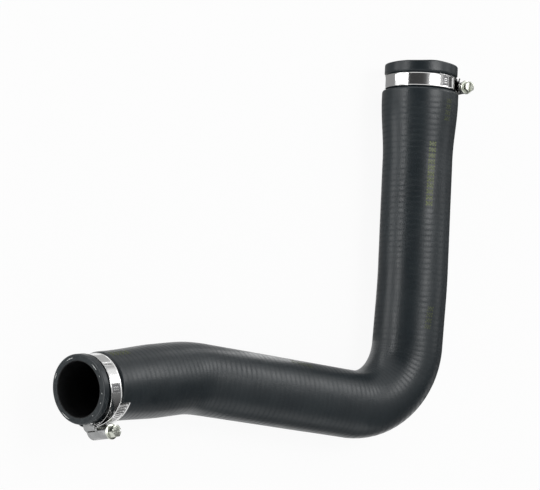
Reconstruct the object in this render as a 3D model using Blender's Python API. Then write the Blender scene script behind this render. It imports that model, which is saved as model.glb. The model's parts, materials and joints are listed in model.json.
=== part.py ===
"""Moulded turbo hose with a worm-drive clamp on each end, lying on its side as it comes to rest.

Metres, +Z up, floor at Z = 0. The riser runs from the elbow along +Y to end B, and the leg runs from
the elbow towards -X to a second, gentle bend, which lifts and swings its last stretch to end A.
Distances along the hose are counted from the rim of end A.
"""

import math

import bmesh
import bpy
from mathutils import Matrix, Vector

MM = 0.001

# Hose: bores, wall and moulded route
BORE_A = 34.2 * MM
BORE_LEG = 38.0 * MM
BORE_RISER = 40.8 * MM
BORE_B = 43.2 * MM
WALL = 4.5 * MM
RISER_LENGTH = 247.0 * MM
RISER_BOW = 3.0 * MM
RISER_BOW_FROM_ELBOW = 91.0 * MM
RISER_BOW_RADIUS = 500.0 * MM
ELBOW_TURN = math.radians(95.0)
ELBOW_RADIUS = 45.0 * MM
LEG_LENGTH = 179.0 * MM
BEND_RADIUS = 62.0 * MM
BEND_SWING = math.radians(12.2)
BEND_RISE = math.radians(15.5)
END_A_LENGTH = 97.0 * MM
END_A_CUT = math.radians(4.0)

# Hose ends: cut rims, the seats that the clamps have pressed in, and the rubber pushed up beside them
RIM_CHAMFER = 0.8 * MM
BORE_CHAMFER = 0.5 * MM
SEAT_DEPTH = 1.7 * MM
SEAT_RAMP = 1.6 * MM
BULGE_A = 0.3 * MM
BULGE_B = 1.2 * MM
BULGE_LENGTH = 5.0 * MM
CUFF_BLEND = 42.0 * MM
SADDLE_HALF = math.radians(20.0)
SADDLE_FADE = math.radians(12.0)

# Clamps: how far they are turned about the hose, from its side towards its top, and how far the
# rubber under each housing stands over the seat that the band has pressed in
CLAMP_TURN = math.radians(6.0)
HOUSING_STAND_A = 1.7 * MM
HOUSING_STAND_B = 0.3 * MM

# Clamp band: a strip with turned-up edges, whose last stretch carries embossed thread grooves
BAND_SETBACK = 8.5 * MM
BAND_WIDTH = 9.0 * MM
BAND_THICKNESS = 0.6 * MM
BAND_EDGE = 0.6 * MM
BAND_EDGE_RISE = 0.35 * MM
GROOVE_PITCH = 2.0 * MM
GROOVE_WIDTH = 1.35 * MM
GROOVE_FLANK = 0.35 * MM
GROOVE_DEPTH = 0.25 * MM
GROOVE_REACH = 2.6 * MM
GROOVE_RUNOUT = 0.3 * MM
GROOVE_SLANT = math.radians(10.0)
LEAD_ANGLE_A = math.radians(95.0)
LEAD_ANGLE_B = math.radians(45.0)
TAIL_ANGLE_A = math.radians(66.0)
TAIL_ANGLE_B = math.radians(43.0)
TAIL_LIFT_A = 5.0 * MM
TAIL_LIFT_B = 0.6 * MM
TAIL_CURVE = 1.3

# Worm screw: hexagon head on a flange, neck and worm thread
WORM_RADIUS = 3.2 * MM
WORM_ROOT_RADIUS = 2.4 * MM
NECK_RADIUS = 2.0 * MM
FLANGE_RADIUS = 4.9 * MM
FLANGE_THICKNESS = 1.1 * MM
HEAD_ACROSS_FLATS = 7.0 * MM
HEAD_HEIGHT = 4.2 * MM
HEAD_CHAMFER = 0.5 * MM
SLOT_WIDTH = 1.2 * MM
SLOT_DEPTH = 1.6 * MM
CREST_SHARE = 0.25
FLANK_SHARE = 0.125

# Clamp housing: a stamped shell over the worm, whose side walls fold in under the band
HOUSING_SHEET = 0.7 * MM
HOUSING_LIP_SHEET = 0.5 * MM
HOUSING_LIP_REACH = 2.6 * MM
HOUSING_BACK = 5.9 * MM
HOUSING_BLOCK_FRONT = 3.5 * MM
HOUSING_FRONT = 11.5 * MM
HOUSING_BACK_SLOPE = math.radians(18.0)
HOUSING_SHOULDER = math.radians(8.0)
COLLAR_LENGTH = 1.6 * MM
ARCH_OPENING = math.radians(35.0)
SLIT_LENGTH = 6.5 * MM
SLIT_HEIGHT = 0.7 * MM

CLEARANCE = 0.3 * MM

# Facets
HOSE_SIDES = 32
SCREW_SIDES = 18
ARCH_STEPS = 12
ROUTE_STEP = math.radians(9.0)
BAND_STEP = math.radians(8.0)
RAMP_STEP = math.radians(4.0)
BLEND_STEPS = 4
RINGS_PER_THREAD = 4
SHARP_ANGLE = math.radians(35.0)
CLOSEST_RINGS = 0.1 * MM

# Sizes that follow
END_A_RADIUS = BORE_A / 2 + WALL
LEG_RADIUS = BORE_LEG / 2 + WALL
RISER_RADIUS = BORE_RISER / 2 + WALL
END_B_RADIUS = BORE_B / 2 + WALL
SEAT_MARGIN = CLEARANCE + HOUSING_SHEET + CLEARANCE
BAND_CENTRE = BAND_SETBACK + BAND_WIDTH / 2
SEAT_START = BAND_SETBACK - SEAT_MARGIN
SEAT_END = BAND_SETBACK + BAND_WIDTH + SEAT_MARGIN
BULGE_END = SEAT_END + SEAT_RAMP + BULGE_LENGTH
BAND_OUTSIDE = CLEARANCE + BAND_EDGE_RISE + BAND_THICKNESS
INNER_LAYER = CLEARANCE + HOUSING_LIP_SHEET + CLEARANCE
OUTER_LAYER = INNER_LAYER + BAND_THICKNESS + CLEARANCE
WORM_HEIGHT = OUTER_LAYER + BAND_THICKNESS + CLEARANCE + WORM_RADIUS
WORM_PITCH = GROOVE_PITCH
ARCH_RADIUS = WORM_RADIUS + CLEARANCE + HOUSING_SHEET
UP = Vector((0, 0, 1))


def clear_scene():
    for obj in list(bpy.data.objects):
        bpy.data.objects.remove(obj, do_unlink=True)


def material(name, colour, roughness, metallic):
    made = bpy.data.materials.new(name)
    made.use_nodes = True
    shader = made.node_tree.nodes["Principled BSDF"]
    shader.inputs["Base Color"].default_value = (*colour, 1)
    shader.inputs["Roughness"].default_value = roughness
    shader.inputs["Metallic"].default_value = metallic
    return made


def add_object(name, mesh):
    obj = bpy.data.objects.new(name, mesh)
    bpy.context.scene.collection.objects.link(obj)
    return obj


def finished(obj, finish):
    """Gives an object its material, smooth round faces and a mesh of the same name."""
    obj.data.name = obj.name
    obj.data.materials.clear()
    obj.data.materials.append(finish)
    obj.data.shade_smooth()
    obj.data.set_sharp_from_angle(angle=SHARP_ANGLE)
    return obj


def mesh_of(bm, name):
    bmesh.ops.recalc_face_normals(bm, faces=bm.faces)
    mesh = bpy.data.meshes.new(name)
    bm.to_mesh(mesh)
    bm.free()
    return mesh


def loft(name, rings):
    """A closed mesh through rings of the same number of points, with a flat cap on each end."""
    bm = bmesh.new()
    loops = [[bm.verts.new(point) for point in ring] for ring in rings]
    count = len(loops[0])
    for first, second in zip(loops, loops[1:]):
        for i in range(count):
            j = (i + 1) % count
            bm.faces.new((first[i], first[j], second[j], second[i]))
    bm.faces.new(reversed(loops[0]))
    bm.faces.new(loops[-1])
    return mesh_of(bm, name)


def apply_boolean(obj, other, operation):
    """Joins or cuts obj with other, which is then removed."""
    modifier = obj.modifiers.new(operation.title(), "BOOLEAN")
    modifier.operation = operation
    modifier.solver = "EXACT"
    modifier.object = other
    graph = bpy.context.evaluated_depsgraph_get()
    mesh = bpy.data.meshes.new_from_object(obj.evaluated_get(graph))
    obj.modifiers.clear()
    obj.data = mesh
    bpy.data.objects.remove(other, do_unlink=True)


def smooth_step(share):
    share = min(max(share, 0), 1)
    return share * share * (3 - 2 * share)


def between(keys, at):
    """The value at a place in a list of (place, value), blended smoothly from key to key."""
    if at <= keys[0][0]:
        return keys[0][1]
    for (start, first), (end, second) in zip(keys, keys[1:]):
        if at <= end:
            return first + (second - first) * smooth_step((at - start) / (end - start))
    return keys[-1][1]


# The route: straight stretches joined by arcs


def route_corners():
    """The corners of the centreline from end A to end B.

    The hose rests on the gentle bend, on the riser where the elbow ends and, near end B, on the rubber
    behind the clamp or on the band, whichever reaches lower, so the centreline lies there as high as
    the outside is thick.
    """
    elbow_reach = ELBOW_RADIUS * math.tan(ELBOW_TURN / 2)
    contacts = [(BAND_CENTRE, END_B_RADIUS - SEAT_DEPTH + BAND_OUTSIDE), (BULGE_END, END_B_RADIUS + BULGE_B)]
    slope = max((height - RISER_RADIUS) / (RISER_LENGTH - at - elbow_reach) for at, height in contacts)
    elbow_height = RISER_RADIUS - slope * elbow_reach
    elbow = Vector((0, 0, elbow_height))
    leg_heading = math.pi * 1.5 - ELBOW_TURN
    bend = elbow + LEG_LENGTH * Vector((math.cos(leg_heading), math.sin(leg_heading), 0))
    bend.z = LEG_RADIUS
    end_heading = leg_heading + BEND_SWING
    flat = math.cos(BEND_RISE)
    to_a = Vector((flat * math.cos(end_heading), flat * math.sin(end_heading), math.sin(BEND_RISE)))
    bow = Vector((RISER_BOW, RISER_BOW_FROM_ELBOW, elbow_height + slope * RISER_BOW_FROM_ELBOW))
    end_b = Vector((0, RISER_LENGTH, elbow_height + slope * RISER_LENGTH))
    return [bend + END_A_LENGTH * to_a, bend, elbow, bow, end_b]


def route_of(corners, radii):
    """Stretches of the centreline, each (length, function from distance to point and direction, turn)."""
    stretches = []

    def line(start, end):
        heading = (end - start).normalized()
        stretches.append(((end - start).length, lambda s: (start + s * heading, heading), 0))

    def arc(start, heading, side, radius, turn):
        centre = start + radius * side

        def at(s):
            angle = s / radius
            point = centre + radius * (math.sin(angle) * heading - math.cos(angle) * side)
            return point, math.cos(angle) * heading + math.sin(angle) * side

        stretches.append((radius * turn, at, turn))

    start = corners[0]
    for before, corner, after, radius in zip(corners, corners[1:], corners[2:], radii):
        heading = (corner - before).normalized()
        leaving = (after - corner).normalized()
        turn = heading.angle(leaving)
        cut_back = radius * math.tan(turn / 2)
        side = (leaving - heading * heading.dot(leaving)).normalized()
        line(start, corner - cut_back * heading)
        arc(corner - cut_back * heading, heading, side, radius, turn)
        start = corner + cut_back * leaving
    line(start, corners[-1])
    return stretches


def route_length(route):
    return sum(length for length, _, _ in route)


def stretch_starts(route):
    starts = [0]
    for length, _, _ in route:
        starts.append(starts[-1] + length)
    return starts


def place_on_route(route, distance):
    """A matrix with its Z along the hose, its X pointing up and its Y to the side, at that distance."""
    for (length, at, _), start in zip(route, stretch_starts(route)):
        if distance <= start + length:
            break
    point, heading = at(distance - start)
    up = (UP - heading * heading.dot(UP)).normalized()
    side = heading.cross(up)
    return Matrix.Translation(point) @ Matrix((up, side, heading)).transposed().to_4x4()


# The hose


def cuff_keys(radius, bulge, body_radius):
    """(distance from the rim, outside radius) over one end, from the cut rim to the body of the hose."""
    return [
        (0, radius - RIM_CHAMFER),
        (RIM_CHAMFER, radius),
        (SEAT_START - SEAT_RAMP, radius),
        (SEAT_START, radius - SEAT_DEPTH),
        (SEAT_END, radius - SEAT_DEPTH),
        (SEAT_END + SEAT_RAMP, radius + bulge),
        (BULGE_END, radius + bulge),
        (BULGE_END + CUFF_BLEND, body_radius),
    ]


def from_far_end(keys, length):
    return [(length - distance, radius) for distance, radius in reversed(keys)]


def hose_keys(route):
    """Keys of the outside and of the bore, from end A to end B."""
    length = route_length(route)
    starts = stretch_starts(route)
    elbow_start, elbow_end = starts[3], starts[4]
    outside = cuff_keys(END_A_RADIUS, BULGE_A, LEG_RADIUS)
    outside += [(elbow_start, LEG_RADIUS), (elbow_end, RISER_RADIUS)]
    outside += from_far_end(cuff_keys(END_B_RADIUS, BULGE_B, RISER_RADIUS), length)

    def mouth(bore):
        return [(0, bore / 2 + BORE_CHAMFER), (BORE_CHAMFER, bore / 2), (BAND_SETBACK + BAND_WIDTH, bore / 2)]

    blend_end = BULGE_END + CUFF_BLEND
    inside = mouth(BORE_A) + [(blend_end, BORE_LEG / 2), (elbow_start, BORE_LEG / 2)]
    inside += [(elbow_end, BORE_RISER / 2), (length - blend_end, BORE_RISER / 2)]
    inside += from_far_end(mouth(BORE_B), length)
    return outside, inside


def stations(route, keys):
    """Distances at which a ring is needed: along each arc, at each key and over each long blend."""
    wanted = {0, route_length(route)}
    for (length, _, turn), start in zip(route, stretch_starts(route)):
        steps = max(1, math.ceil(turn / ROUTE_STEP))
        wanted |= {start + length * i / steps for i in range(steps)}
    for (start, first), (end, second) in zip(keys, keys[1:]):
        steps = BLEND_STEPS if end - start > BULGE_LENGTH and first != second else 1
        wanted |= {start + (end - start) * i / steps for i in range(steps)}
    kept = []
    for distance in sorted(wanted):
        if not kept or distance - kept[-1] > CLOSEST_RINGS:
            kept.append(distance)
    return kept


def cut_back(distance, height):
    """How far end A's oblique cut sets a point back along the hose, at a height over the centreline."""
    share = max(0, 1 - distance / (SEAT_START - SEAT_RAMP))
    return share * math.tan(END_A_CUT) * (END_A_RADIUS + height)


def saddle_rise(from_rim, angle, stand):
    """How far the rubber stands up in its seat under a housing, less and less beyond the housing."""
    past_seat = max(SEAT_START - from_rim, from_rim - SEAT_END, 0)
    past_housing = max(abs(angle - math.pi / 2 + CLAMP_TURN) - SADDLE_HALF, 0)
    return stand * max(0, 1 - past_seat / SEAT_RAMP) * max(0, 1 - past_housing / SADDLE_FADE)


def ring_on_route(route, distance, radius, stands=(0, 0)):
    """One ring of points round the hose, with each end's rubber stood up under its housing."""
    place = place_on_route(route, distance)
    to_b = route_length(route) - distance
    ring = []
    for i in range(HOSE_SIDES):
        angle = 2 * math.pi * i / HOSE_SIDES
        rise = saddle_rise(distance, angle, stands[0]) + saddle_rise(to_b, angle, stands[1])
        height = (radius + rise) * math.cos(angle)
        side = (radius + rise) * math.sin(angle)
        ring.append(place @ Vector((height, side, cut_back(distance, height))))
    return ring


def make_hose(route, finish):
    """One skin from the rim of A over the outside to B and back through the bore, closed on itself."""
    outside, inside = hose_keys(route)
    stands = (HOUSING_STAND_A, HOUSING_STAND_B)
    rings = [ring_on_route(route, at, between(outside, at), stands) for at in stations(route, outside)]
    rings += [ring_on_route(route, at, between(inside, at)) for at in reversed(stations(route, inside))]
    bm = bmesh.new()
    loops = [[bm.verts.new(point) for point in ring] for ring in rings]
    for first, second in zip(loops, loops[1:] + loops[:1]):
        for i in range(HOSE_SIDES):
            j = (i + 1) % HOSE_SIDES
            bm.faces.new((first[i], first[j], second[j], second[i]))
    return finished(add_object("hose", mesh_of(bm, "hose")), finish)


# A clamp, in its own frame: Z along the hose, Y out through the housing and X towards the screw head


def polar(radius, angle, along):
    """A point round the hose, at an angle from the middle of the housing towards the screw head."""
    return Vector((radius * math.sin(angle), radius * math.cos(angle), along))


def band_ring(seat, angle, height, depth):
    """The band's section at an angle: its inner face, then its outer face with the groove's depth."""
    half = BAND_WIDTH / 2
    flat = half - BAND_EDGE
    edge = half - BAND_THICKNESS / 3
    shoulder = flat - BAND_THICKNESS / 3
    groove_end = GROOVE_REACH + GROOVE_RUNOUT
    top = BAND_THICKNESS
    outline = [
        (-half, BAND_EDGE_RISE),
        (-flat, 0),
        (flat, 0),
        (half, BAND_EDGE_RISE),
        (edge, top + BAND_EDGE_RISE),
        (shoulder, top),
        (groove_end, top),
        (GROOVE_REACH, top - depth),
        (-GROOVE_REACH, top - depth),
        (-groove_end, top),
        (-shoulder, top),
        (-edge, top + BAND_EDGE_RISE),
    ]
    ring = []
    for along, out in outline:
        radius = seat + height + out
        slanted = out > 0 and abs(along) <= groove_end
        lean = along * math.tan(GROOVE_SLANT) / radius if slanted else 0
        ring.append(polar(radius, angle + lean, along))
    return ring


def band_heights(seat, stand, lead_angle, tail_angle, tail_lift):
    """(angle, height over the seat) of the band, from its fixed end once round and out as the tail."""
    back = HOUSING_BACK / seat
    front = HOUSING_BLOCK_FRONT / seat
    full = 2 * math.pi
    return [
        (-back + RAMP_STEP / 2, INNER_LAYER + stand),
        (front + RAMP_STEP * 2, INNER_LAYER + stand),
        (lead_angle, CLEARANCE),
        (full - back - RAMP_STEP * 8, CLEARANCE),
        (full - back - RAMP_STEP, OUTER_LAYER + stand),
        (full + front + RAMP_STEP, OUTER_LAYER + stand),
        (full + tail_angle, OUTER_LAYER + stand + tail_lift),
    ]


def band_height(keys, angle):
    """The band's height over the seat, with its tail springing off more and more."""
    start, low = keys[-2]
    end, high = keys[-1]
    if angle <= start:
        return between(keys, angle)
    return low + (high - low) * ((angle - start) / (end - start)) ** TAIL_CURVE


def band_stations(keys, saddle):
    """(angle, groove depth) along the band: plain up to the housing, then a groove for each thread."""
    places = []
    grooves_from = keys[5][0]
    for (start, first), (end, second) in zip(keys[:5], keys[1:6]):
        step = BAND_STEP if first == second else RAMP_STEP
        steps = math.ceil((end - start) / step)
        places += [(start + (end - start) * i / steps, 0) for i in range(steps)]
    places.append((grooves_from, 0))
    pitch = GROOVE_PITCH / (saddle + OUTER_LAYER)
    count = int((keys[-1][0] - grooves_from) / pitch - 0.5)
    first_groove = keys[-1][0] - (count + 0.25) * pitch
    for i in range(count):
        start = first_groove + i * pitch
        flank = pitch * GROOVE_FLANK / GROOVE_PITCH
        width = pitch * GROOVE_WIDTH / GROOVE_PITCH
        places += [(start, 0), (start + flank, GROOVE_DEPTH)]
        places += [(start + width - flank, GROOVE_DEPTH), (start + width, 0)]
    places.append((keys[-1][0], 0))
    return places


def make_band(name, seat, stand, lead_angle, tail_angle, tail_lift, finish):
    keys = band_heights(seat, stand, lead_angle, tail_angle, tail_lift)
    rings = []
    for angle, depth in band_stations(keys, seat + stand):
        rings.append(band_ring(seat, angle, band_height(keys, angle), depth))
    return finished(add_object(name, loft(name, rings)), finish)


def extruded(name, outline, start, end):
    """A prism along X from an outline of (z, y) points."""
    rings = [[Vector((x, y, z)) for z, y in outline] for x in (start, end)]
    return add_object(name, loft(name, rings))


def sector(name, inner, outer, start, end, low, high):
    """A piece of a ring round the hose between two angles and two heights along it."""
    steps = max(2, math.ceil((end - start) / RAMP_STEP))
    rings = []
    for i in range(steps + 1):
        angle = start + (end - start) * i / steps
        corners = [(inner, low), (inner, high), (outer, high), (outer, low)]
        rings.append([polar(radius, angle, along) for radius, along in corners])
    return add_object(name, loft(name, rings))


def cylinder(name, radius, start, end, height, sides):
    """A round bar along X at a height over the hose's axis."""
    angles = [2 * math.pi * i / sides for i in range(sides)]
    outline = [(radius * math.cos(angle), height + radius * math.sin(angle)) for angle in angles]
    return extruded(name, outline, start, end)


def box(name, low, high):
    outline = [(low[2], low[1]), (high[2], low[1]), (high[2], high[1]), (low[2], high[1])]
    return extruded(name, outline, low[0], high[0])


def behind_back(name, seat, offset):
    """A block whose front face is the housing's sloping back, moved forwards by an offset."""
    reach = HOUSING_FRONT * 2
    block = box(name, (-reach, -reach, -reach), (offset, reach, reach))
    slope = Matrix.Rotation(-HOUSING_BACK_SLOPE, 4, "Z")
    block.data.transform(Matrix.Translation((-HOUSING_BACK, seat + OUTER_LAYER, 0)) @ slope)
    return block


def housing_block(name, seat):
    """The solid block of the housing, whose shoulders lean in to the arch."""
    height = seat + WORM_HEIGHT
    lean = ARCH_RADIUS - HOUSING_SHEET / 3
    wall = BAND_WIDTH / 2 + CLEARANCE + HOUSING_SHEET
    inward = (lean * math.cos(HOUSING_SHOULDER), height - lean * math.sin(HOUSING_SHOULDER))
    right = [(wall, seat - WALL / 2), (wall, wall_top(seat)), inward]
    left = [(-z, y) for z, y in reversed(right)]
    return extruded(name, right + left, -HOUSING_BACK, HOUSING_BLOCK_FRONT)


def wall_top(seat):
    """Where the housing's side walls turn in over the band's edges."""
    return seat + OUTER_LAYER + BAND_THICKNESS + BAND_EDGE_RISE + CLEARANCE


def band_channel(seat):
    """The space in the housing for the two layers of band, up to the worm."""
    wall = BAND_WIDTH / 2 + CLEARANCE
    turn = wall_top(seat) - HOUSING_SHEET / 4
    mouth = wall_top(seat) + HOUSING_SHEET / 2
    right = [(wall, 0), (wall, turn), (WORM_RADIUS, mouth)]
    left = [(-z, y) for z, y in reversed(right)]
    return extruded("band_channel", right + left, -HOUSING_FRONT, HOUSING_BLOCK_FRONT * 2)


def make_housing(name, seat, finish):
    """The stamped shell: a block with walls and lips at the back, an arch and a collar at the front."""
    height = seat + WORM_HEIGHT
    collar_back = HOUSING_FRONT - COLLAR_LENGTH
    bore_radius = ARCH_RADIUS - HOUSING_SHEET
    housing = housing_block(name, seat)
    tube = cylinder("tube", ARCH_RADIUS, -HOUSING_BACK, HOUSING_FRONT, height, ARCH_STEPS * 2)
    apply_boolean(housing, tube, "UNION")
    apply_boolean(housing, behind_back("back", seat, 0), "DIFFERENCE")
    bore = cylinder("bore", bore_radius, -HOUSING_FRONT, collar_back, height, ARCH_STEPS * 2)
    apply_boolean(bore, behind_back("back", seat, HOUSING_SHEET), "DIFFERENCE")
    apply_boolean(housing, bore, "DIFFERENCE")
    neck = cylinder("neck", NECK_RADIUS + CLEARANCE, 0, HOUSING_FRONT * 2, height, ARCH_STEPS * 2)
    apply_boolean(housing, neck, "DIFFERENCE")
    apply_boolean(housing, band_channel(seat), "DIFFERENCE")
    open_below = height - ARCH_RADIUS * math.sin(ARCH_OPENING)
    half = BAND_WIDTH
    throat = box("throat", (HOUSING_BLOCK_FRONT, 0, -half), (collar_back, open_below, half))
    apply_boolean(housing, throat, "DIFFERENCE")
    hose_cut = sector("hose_cut", seat / 2, seat + CLEARANCE, -math.pi / 4, math.pi / 4, -half, half)
    apply_boolean(housing, hose_cut, "DIFFERENCE")
    add_lips(housing, seat)
    cut_slits(housing, height)
    return finished(housing, finish)


def add_lips(housing, seat):
    """The walls' feet, folded in under the band and curved to the hose."""
    wall_in = BAND_WIDTH / 2 + CLEARANCE
    low = seat + CLEARANCE
    inset = HOUSING_SHEET / 4
    start = -math.atan((HOUSING_BACK - inset) / seat)
    end = math.atan((HOUSING_BLOCK_FRONT - inset) / seat)
    for side in (-1, 1):
        along = sorted((side * (wall_in - HOUSING_LIP_REACH), side * (wall_in + HOUSING_SHEET / 2)))
        lip = sector("lip", low + inset / 2, low + HOUSING_LIP_SHEET, start, end, *along)
        apply_boolean(housing, lip, "UNION")


def cut_slits(housing, height):
    middle = height - ARCH_RADIUS / 3
    back = HOUSING_BLOCK_FRONT - HOUSING_SHEET - SLIT_LENGTH
    for side in (-1, 1):
        along = sorted((side * WORM_ROOT_RADIUS, side * BAND_WIDTH))
        low = (back, middle - SLIT_HEIGHT / 2, along[0])
        high = (back + SLIT_LENGTH, middle + SLIT_HEIGHT / 2, along[1])
        apply_boolean(housing, box("slit", low, high), "DIFFERENCE")


def hexagon_radius(angle):
    """How far a hexagon's outline lies from its axis at an angle, with a corner at angle 0."""
    sector_angle = math.pi / 3
    return HEAD_ACROSS_FLATS / 2 / math.cos(angle % sector_angle - sector_angle / 2)


def thread_radius(angle, along):
    """The worm's radius at a point of its helix, from root to crest and back over one pitch."""
    phase = (along / WORM_PITCH - angle / (2 * math.pi)) % 1
    past_crest = abs(phase - 0.5) - CREST_SHARE / 2
    rise = 1 - min(max(past_crest / FLANK_SHARE, 0), 1)
    return WORM_ROOT_RADIUS + (WORM_RADIUS - WORM_ROOT_RADIUS) * rise


def make_screw(name, finish):
    """The worm screw along its own Z, with Z = 0 over the middle of the housing."""
    collar_back = HOUSING_FRONT - COLLAR_LENGTH
    back_wall = (WORM_HEIGHT + WORM_RADIUS - OUTER_LAYER) * math.tan(HOUSING_BACK_SLOPE)
    back_wall += HOUSING_SHEET / math.cos(HOUSING_BACK_SLOPE)
    worm_start = -HOUSING_BACK + back_wall + CLEARANCE
    worm_end = collar_back - CLEARANCE
    flange_back = HOUSING_FRONT + CLEARANCE
    flange_front = flange_back + FLANGE_THICKNESS
    head_end = flange_front + HEAD_HEIGHT
    angles = [2 * math.pi * i / SCREW_SIDES for i in range(SCREW_SIDES)]

    def ring(along, radius_at):
        return [Vector((radius_at(a) * math.cos(a), radius_at(a) * math.sin(a), along)) for a in angles]

    rings = [ring(worm_start - CLEARANCE / 2, lambda a: NECK_RADIUS)]
    steps = math.ceil((worm_end - worm_start) / WORM_PITCH * RINGS_PER_THREAD)
    for i in range(steps + 1):
        along = worm_start + (worm_end - worm_start) * i / steps
        rings.append(ring(along, lambda a: thread_radius(a, along)))
    rings.append(ring(worm_end + CLEARANCE / 2, lambda a: NECK_RADIUS))
    rings.append(ring(flange_back, lambda a: NECK_RADIUS))
    rings.append(ring(flange_back, lambda a: FLANGE_RADIUS))
    rings.append(ring(flange_front - FLANGE_THICKNESS / 3, lambda a: FLANGE_RADIUS))
    rings.append(ring(flange_front, hexagon_radius))
    rings.append(ring(head_end - HEAD_CHAMFER, hexagon_radius))
    rings.append(ring(head_end, lambda a: hexagon_radius(a) - HEAD_CHAMFER))
    screw = add_object(name, loft(name, rings))
    low = (-HEAD_ACROSS_FLATS, -SLOT_WIDTH / 2, head_end - SLOT_DEPTH)
    high = (HEAD_ACROSS_FLATS, SLOT_WIDTH / 2, head_end + HEAD_HEIGHT)
    apply_boolean(screw, box("slot", low, high), "DIFFERENCE")
    return finished(screw, finish)


def make_clamp(name, place, seat, stand, lead_angle, tail_angle, tail_lift, finishes):
    """One clamp under an empty on the hose's centreline, with the screw's origin on its own axis."""
    holder = bpy.data.objects.new(name, None)
    bpy.context.scene.collection.objects.link(holder)
    holder.matrix_world = place @ Matrix.Rotation(-CLAMP_TURN, 4, "Z")
    saddle = seat + stand
    band = make_band(name + "_band", seat, stand, lead_angle, tail_angle, tail_lift, finishes["band"])
    housing = make_housing(name + "_housing", saddle, finishes["housing"])
    screw = make_screw(name + "_screw", finishes["screw"])
    screw.location = (0, saddle + WORM_HEIGHT, 0)
    screw.rotation_euler = (0, math.pi / 2, 0)
    for piece in (band, housing, screw):
        piece.parent = holder
    return holder


def stand_over_origin(tops):
    """Moves everything so that the middle of the base lies on the origin."""
    bpy.context.view_layer.update()
    graph = bpy.context.evaluated_depsgraph_get()
    points = []
    for obj in bpy.context.scene.objects:
        if obj.type == "MESH":
            made = obj.evaluated_get(graph)
            points += [made.matrix_world @ vertex.co for vertex in made.data.vertices]
    low = [min(point[i] for point in points) for i in range(3)]
    high = [max(point[i] for point in points) for i in range(3)]
    shift = Vector((-(low[0] + high[0]) / 2, -(low[1] + high[1]) / 2, -low[2]))
    for obj in tops:
        obj.matrix_world = Matrix.Translation(shift) @ obj.matrix_world


def main():
    clear_scene()
    rubber = material("rubber", (0.035, 0.04, 0.042), 0.5, 0)
    finishes = {
        "band": material("polished_band", (0.72, 0.72, 0.72), 0.15, 1),
        "housing": material("stamped_steel", (0.62, 0.62, 0.63), 0.35, 1),
        "screw": material("zinc_screw", (0.7, 0.7, 0.66), 0.3, 1),
    }
    route = route_of(route_corners(), (BEND_RADIUS, ELBOW_RADIUS, RISER_BOW_RADIUS))
    hose = make_hose(route, rubber)
    place_a = place_on_route(route, BAND_CENTRE)
    place_b = place_on_route(route, route_length(route) - BAND_CENTRE)
    seat_a = END_A_RADIUS - SEAT_DEPTH
    seat_b = END_B_RADIUS - SEAT_DEPTH
    shape_a = (HOUSING_STAND_A, LEAD_ANGLE_A, TAIL_ANGLE_A, TAIL_LIFT_A)
    shape_b = (HOUSING_STAND_B, LEAD_ANGLE_B, TAIL_ANGLE_B, TAIL_LIFT_B)
    clamp_a = make_clamp("clamp_a", place_a, seat_a, *shape_a, finishes)
    clamp_b = make_clamp("clamp_b", place_b, seat_b, *shape_b, finishes)
    stand_over_origin((hose, clamp_a, clamp_b))


main()
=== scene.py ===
"""Looks of a moulded rubber turbo hose with a worm-drive clamp on each end, lying on its side."""

import json
import math
import random

import bmesh
import bpy
from mathutils import Matrix, Vector, noise


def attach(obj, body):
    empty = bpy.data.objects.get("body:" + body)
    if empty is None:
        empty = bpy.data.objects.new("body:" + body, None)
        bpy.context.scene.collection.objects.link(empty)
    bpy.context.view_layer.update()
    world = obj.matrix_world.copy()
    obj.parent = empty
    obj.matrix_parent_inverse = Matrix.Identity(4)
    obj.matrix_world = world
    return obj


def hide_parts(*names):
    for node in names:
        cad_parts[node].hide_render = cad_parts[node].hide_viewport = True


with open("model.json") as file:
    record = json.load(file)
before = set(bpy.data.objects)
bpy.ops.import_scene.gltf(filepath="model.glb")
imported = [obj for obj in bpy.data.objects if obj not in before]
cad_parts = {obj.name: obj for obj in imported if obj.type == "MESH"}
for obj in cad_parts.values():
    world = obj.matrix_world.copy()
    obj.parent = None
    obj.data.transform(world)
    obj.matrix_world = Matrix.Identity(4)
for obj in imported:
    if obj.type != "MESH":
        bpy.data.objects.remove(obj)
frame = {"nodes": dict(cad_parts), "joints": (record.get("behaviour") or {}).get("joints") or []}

MM = 0.001
UP = Vector((0, 0, 1))
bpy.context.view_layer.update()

# Hose: the route and the sizes of its solid
BORE_A = 34.2 * MM
BORE_LEG = 38.0 * MM
BORE_RISER = 40.8 * MM
BORE_B = 43.2 * MM
WALL = 4.5 * MM
RISER_LENGTH = 247.0 * MM
RISER_BOW = 3.0 * MM
RISER_BOW_FROM_ELBOW = 91.0 * MM
RISER_BOW_RADIUS = 500.0 * MM
ELBOW_TURN = math.radians(95.0)
ELBOW_RADIUS = 45.0 * MM
LEG_LENGTH = 179.0 * MM
BEND_RADIUS = 62.0 * MM
BEND_SWING = math.radians(12.2)
BEND_RISE = math.radians(15.5)
END_A_LENGTH = 97.0 * MM
END_A_CUT = math.radians(4.0)

# Hose ends
RIM_ROUND = 0.9 * MM
BORE_ROUND = 0.5 * MM
SEAT_DEPTH = 1.7 * MM
SEAT_RAMP = 1.6 * MM
BULGE_A = 0.3 * MM
BULGE_B = 1.2 * MM
BULGE_LENGTH = 5.0 * MM
CUFF_BLEND = 42.0 * MM
SADDLE_HALF = math.radians(20.0)
SADDLE_FADE = math.radians(12.0)

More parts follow.
